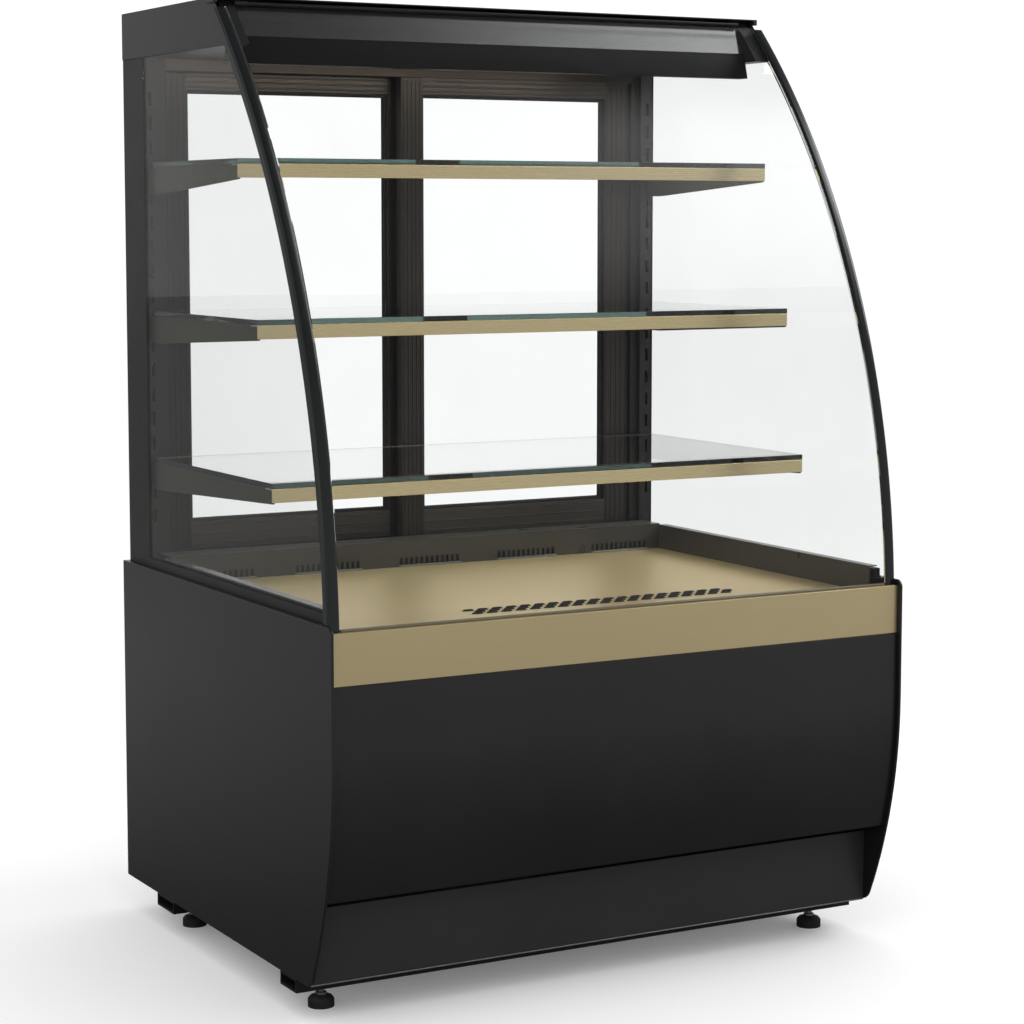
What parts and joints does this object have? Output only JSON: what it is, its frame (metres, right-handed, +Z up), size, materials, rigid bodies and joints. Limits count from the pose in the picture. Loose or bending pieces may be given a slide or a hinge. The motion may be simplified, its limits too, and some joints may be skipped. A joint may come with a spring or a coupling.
{
  "type": "glass display showcase",
  "caption": "Curved-front refrigerated glass display case with glass shelves, a lit header, rear sliding doors and a lift-up front window on a black and gold cabinet.",
  "frame": {"origin": "on the floor, under the middle of the case", "axes": "+Z up; -Y towards the customer, +Y towards the staff side; +X to the right seen from the front"},
  "size_m": [0.96, 0.792, 1.441],
  "materials": {
    "gloss_black_steel": "gloss black powder coat",
    "satin_black_steel": "satin black powder coat",
    "black_profile": "black anodised profile",
    "gold_band": "champagne gold metallic paint",
    "gold_deck": "champagne gold metallic paint, polished",
    "gold_shelf_rail": "champagne gold metallic paint",
    "liner_grey": "dark grey powder coat",
    "tub_plastic": "foam-filled liner",
    "window_glass": "clear tempered glass",
    "shelf_glass": "clear glass with polished edges",
    "bronze_anodised": "brown-black anodised",
    "black_plastic": "moulded black",
    "rubber_foot": "moulded rubber on a steel stud",
    "zinc_steel": "zinc-plated sheet",
    "compressor_black": "black enamel",
    "coil_aluminium": "finned coil",
    "copper_pipe": "drawn copper tube",
    "lamp_diffuser": "opal diffuser"
  },
  "bodies": {
    "case": {"base_pan": "zinc_steel", "bottom_track": "bronze_anodised", "cable_gland": "black_plastic", "compressor": "compressor_black", "condenser_coil": "coil_aluminium", "condenser_fan_carrier": "zinc_steel", "control_module": "black_plastic", "deck_tray": "gold_deck", "evaporator_coil": "coil_aluminium", "evaporator_fan_carrier": "zinc_steel", "front_band": "gold_band", "front_panel": "gloss_black_steel", "front_rail": "satin_black_steel", "glass_hinge_pins": "zinc_steel", "header_front": "gloss_black_steel", "header_shell": "gloss_black_steel", "insulated_tub": "tub_plastic", "kick_plate": "gloss_black_steel", "lamp_strip": "lamp_diffuser", "left_glass_channel": "satin_black_steel", "left_post": "satin_black_steel", "left_side_glass": "window_glass", "left_side_panel": "gloss_black_steel", "lower_shelf_brackets": "gold_shelf_rail", "lower_shelf_glass": "shelf_glass", "lower_shelf_rail": "gold_shelf_rail", "middle_shelf_brackets": "gold_shelf_rail", "middle_shelf_glass": "shelf_glass", "middle_shelf_rail": "gold_shelf_rail", "rear_panel": "satin_black_steel", "rear_rail": "satin_black_steel", "refrigerant_pipe": "copper_pipe", "right_glass_channel": "satin_black_steel", "right_post": "satin_black_steel", "right_side_glass": "window_glass", "right_side_panel": "gloss_black_steel", "top_track": "bronze_anodised", "upper_shelf_brackets": "gold_shelf_rail", "upper_shelf_glass": "shelf_glass", "upper_shelf_rail": "gold_shelf_rail", "well_surround": "liner_grey"},
    "left_door": {"left_door_frame": "bronze_anodised", "left_door_glass": "window_glass", "left_door_pull": "black_plastic"},
    "right_door": {"right_door_frame": "bronze_anodised", "right_door_glass": "window_glass", "right_door_pull": "black_plastic"},
    "front_window": {"front_glass": "window_glass", "left_glass_trim": "black_profile", "right_glass_trim": "black_profile", "glass_hinge_rail": "black_profile"},
    "condenser_rotor": {"condenser_fan": "black_plastic"},
    "evaporator_rotor": {"evaporator_fan": "black_plastic"},
    "power_rocker": {"power_switch": "black_plastic"},
    "light_rocker": {"light_switch": "black_plastic"},
    "foot_front_left": {"front_left_foot": "rubber_foot"},
    "foot_front_right": {"front_right_foot": "rubber_foot"},
    "foot_rear_left": {"rear_left_foot": "rubber_foot"},
    "foot_rear_right": {"rear_right_foot": "rubber_foot"}
  },
  "joints": [
    {"name": "left_door_slide", "type": "slide", "parent": "case", "child": "left_door", "axis": [1, 0, 0], "range_m": [0, 0.4]},
    {"name": "right_door_slide", "type": "slide", "parent": "case", "child": "right_door", "axis": [-1, 0, 0], "range_m": [0, 0.4]},
    {"name": "front_window_lift", "type": "hinge", "parent": "case", "child": "front_window", "pos_m": [0, 0.00826, 1.432], "axis": [-1, 0, 0], "range_deg": [0, 50]},
    {"name": "condenser_fan_spin", "type": "hinge", "parent": "case", "child": "condenser_rotor", "pos_m": [-0.215, 0.15, 0.18], "axis": [0, 1, 0], "continuous": true},
    {"name": "evaporator_fan_spin", "type": "hinge", "parent": "case", "child": "evaporator_rotor", "pos_m": [0, 0.09, 0.455], "axis": [0, 1, 0], "continuous": true},
    {"name": "power_switch_rock", "type": "hinge", "parent": "case", "child": "power_rocker", "pos_m": [0.34, 0.388, 0.478], "axis": [-1, 0, 0], "range_deg": [0, 14]},
    {"name": "light_switch_rock", "type": "hinge", "parent": "case", "child": "light_rocker", "pos_m": [0.366, 0.388, 0.478], "axis": [-1, 0, 0], "range_deg": [0, 14]},
    {"name": "front_left_foot_turn", "type": "hinge", "parent": "case", "child": "foot_front_left", "pos_m": [-0.426, -0.237, 0.02], "axis": [0, 0, 1], "continuous": true},
    {"name": "front_right_foot_turn", "type": "hinge", "parent": "case", "child": "foot_front_right", "pos_m": [0.426, -0.237, 0.02], "axis": [0, 0, 1], "continuous": true},
    {"name": "rear_left_foot_turn", "type": "hinge", "parent": "case", "child": "foot_rear_left", "pos_m": [-0.426, 0.242, 0.02], "axis": [0, 0, 1], "continuous": true},
    {"name": "rear_right_foot_turn", "type": "hinge", "parent": "case", "child": "foot_rear_right", "pos_m": [0.426, 0.242, 0.02], "axis": [0, 0, 1], "continuous": true}
  ]
}
